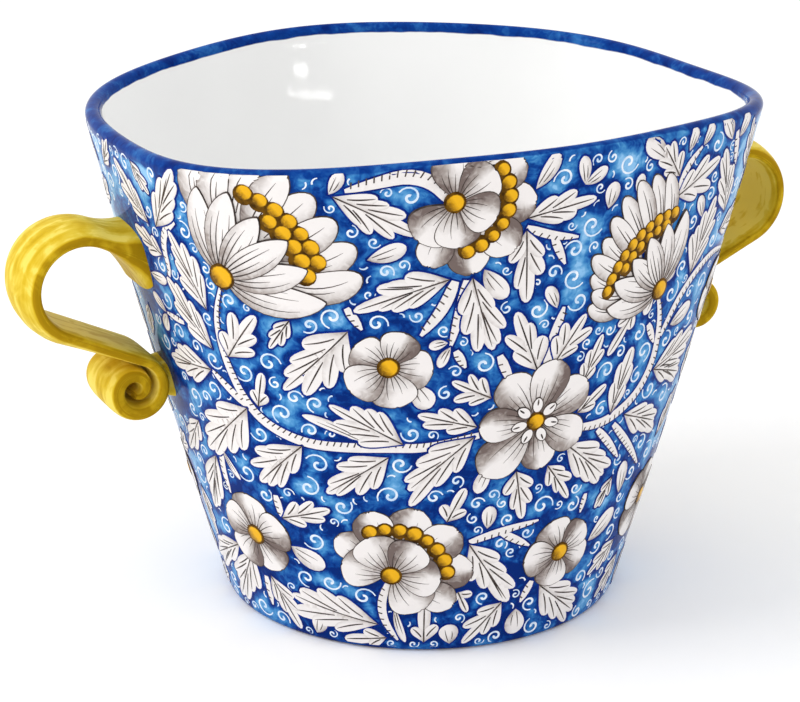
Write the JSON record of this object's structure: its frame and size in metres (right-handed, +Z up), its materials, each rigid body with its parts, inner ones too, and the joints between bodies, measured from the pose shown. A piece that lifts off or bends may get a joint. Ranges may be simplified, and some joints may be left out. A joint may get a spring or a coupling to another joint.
{
  "type": "flower pot",
  "caption": "Tapered glazed earthenware flower pot with a squeezed rim, a floor without a drain hole, a foot ring, and strap handles rolled to scrolls.",
  "frame": {"origin": "on the table under the middle of the base", "axes": "+X through the right handle, +Z up to the mouth, +Y to the back"},
  "size_m": [0.3758, 0.2802, 0.2348],
  "materials": {
    "body_glaze": "glossy tin glaze, hand painted in blue, white, grey and amber",
    "handle_glaze": "glossy glaze brushed in mustard yellow"
  },
  "bodies": {
    "root": {"pot_body": "body_glaze", "handle_right": "handle_glaze", "root_slip_right": "handle_glaze", "scroll_pad_right": "handle_glaze", "handle_left": "handle_glaze", "root_slip_left": "handle_glaze", "scroll_pad_left": "handle_glaze"}
  },
  "joints": []
}
